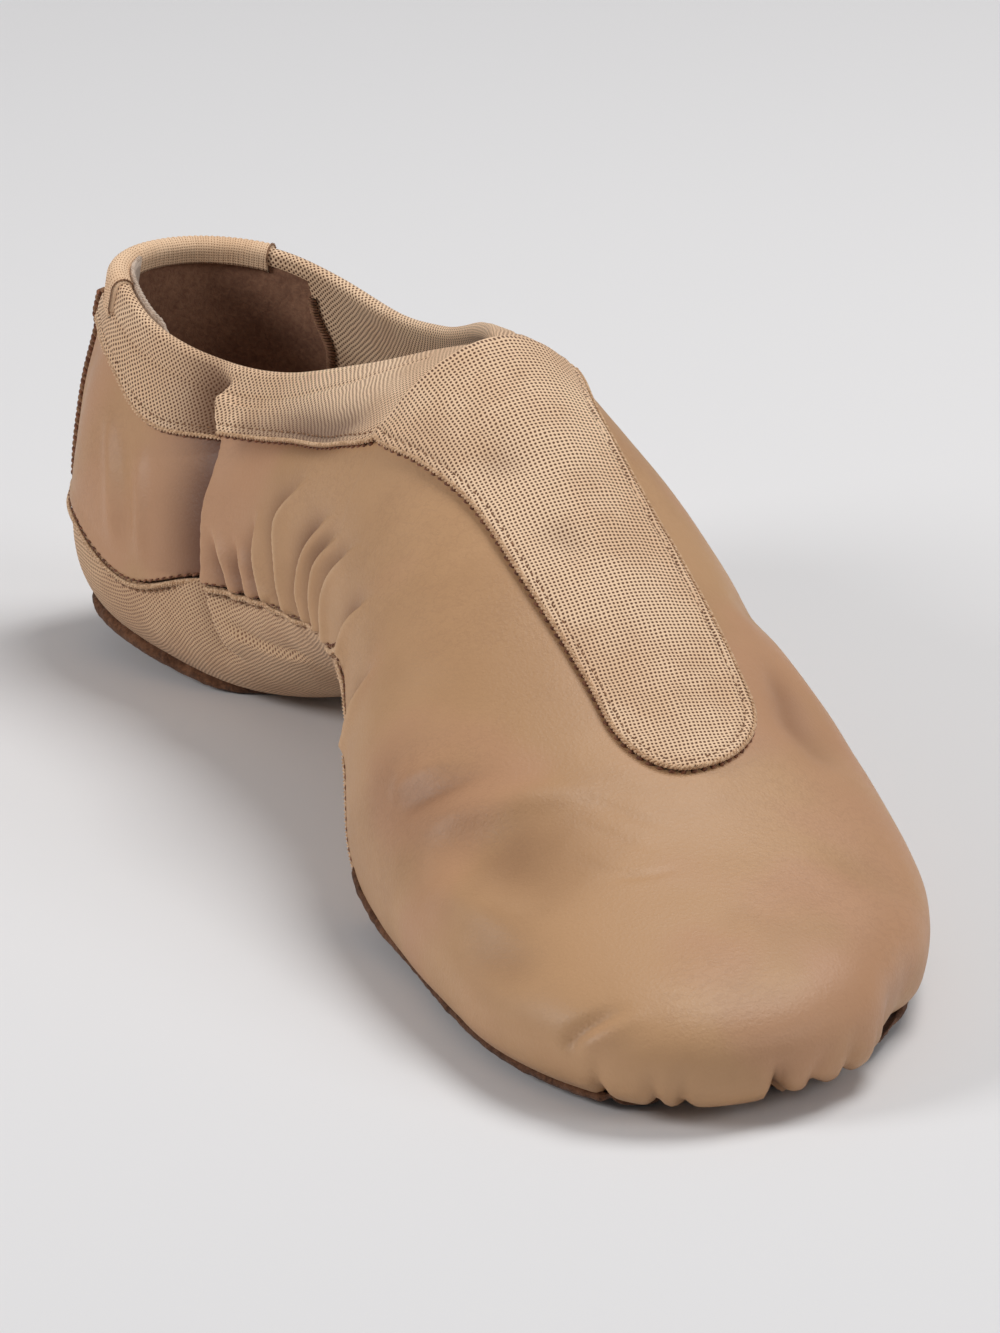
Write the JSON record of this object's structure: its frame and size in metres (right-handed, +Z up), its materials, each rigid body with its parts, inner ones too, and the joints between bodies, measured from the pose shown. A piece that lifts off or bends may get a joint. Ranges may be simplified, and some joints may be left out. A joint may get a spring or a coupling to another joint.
{
  "type": "jazz shoe",
  "caption": "Soft leather slip-on dance shoe with a low open collar, a stretch mesh band and tongue, a mesh arch and a split suede sole under heel and forefoot.",
  "frame": {"origin": "on the floor, under the middle of the shoe's box", "axes": "+Z up, +Y from the toe to the heel, -X towards the foot's inner side"},
  "size_m": [0.0896, 0.24, 0.0764],
  "materials": {
    "leather": "soft fine-grained tan leather, satin",
    "mesh": "open stretch mesh, matt",
    "binding": "ribbed binding, matt",
    "cord": "dark twisted seam",
    "suede": "brown sueded sole leather, rough",
    "insole": "brown napped sock lining, matt"
  },
  "bodies": {
    "root": {"upper": "leather", "gusset_and_collar": "mesh", "heel_tab": "binding", "back_seam": "cord", "underfoot_panel": "mesh", "forefoot_patch": "suede", "heel_patch": "suede", "insole": "insole"}
  },
  "joints": []
}
